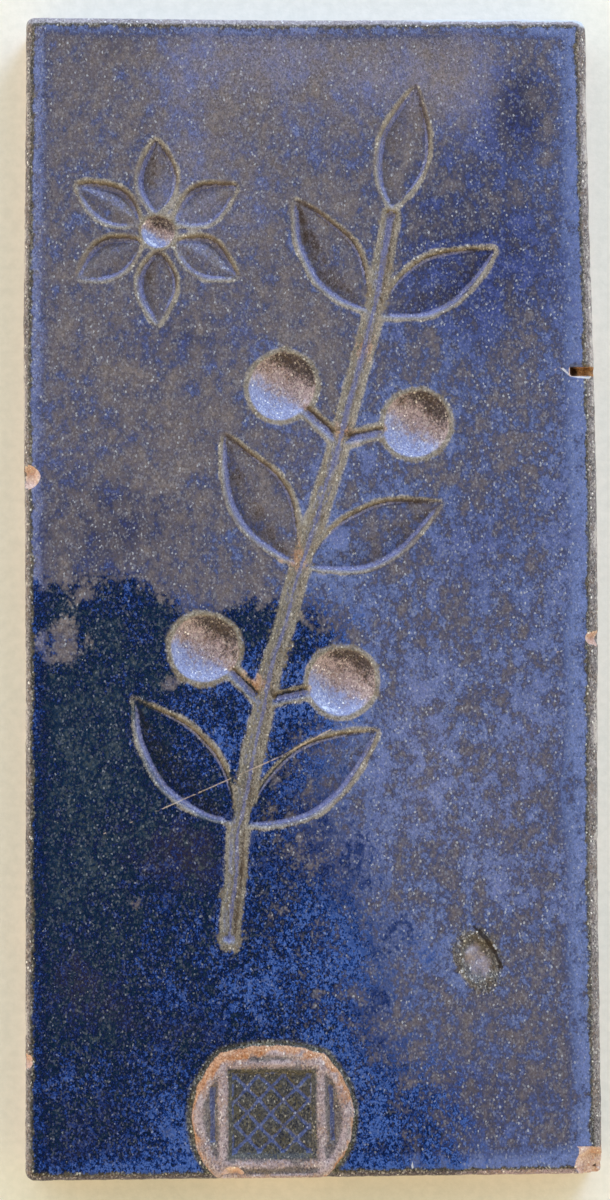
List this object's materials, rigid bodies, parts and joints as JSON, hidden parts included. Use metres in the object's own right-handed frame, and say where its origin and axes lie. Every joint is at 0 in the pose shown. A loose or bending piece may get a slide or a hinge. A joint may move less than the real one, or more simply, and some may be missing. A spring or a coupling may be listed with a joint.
{
  "type": "ceramic tile",
  "caption": "Hand-made rectangular relief tile of glazed grogged clay, with an impressed leafy sprig, a rosette and a raised round stamp pad; flat back to bed on a wall or shelf.",
  "frame": {"origin": "centre of the flat back, at the foot of the bounding box", "axes": "+Z out of the glazed face, +Y along the long side towards the end away from the stamp pad, +X across to the cracked edge"},
  "size_m": [0.1488, 0.3, 0.0154],
  "materials": {
    "blue_glaze": "satin"
  },
  "bodies": {
    "root": {"tile": "blue_glaze"}
  },
  "joints": []
}
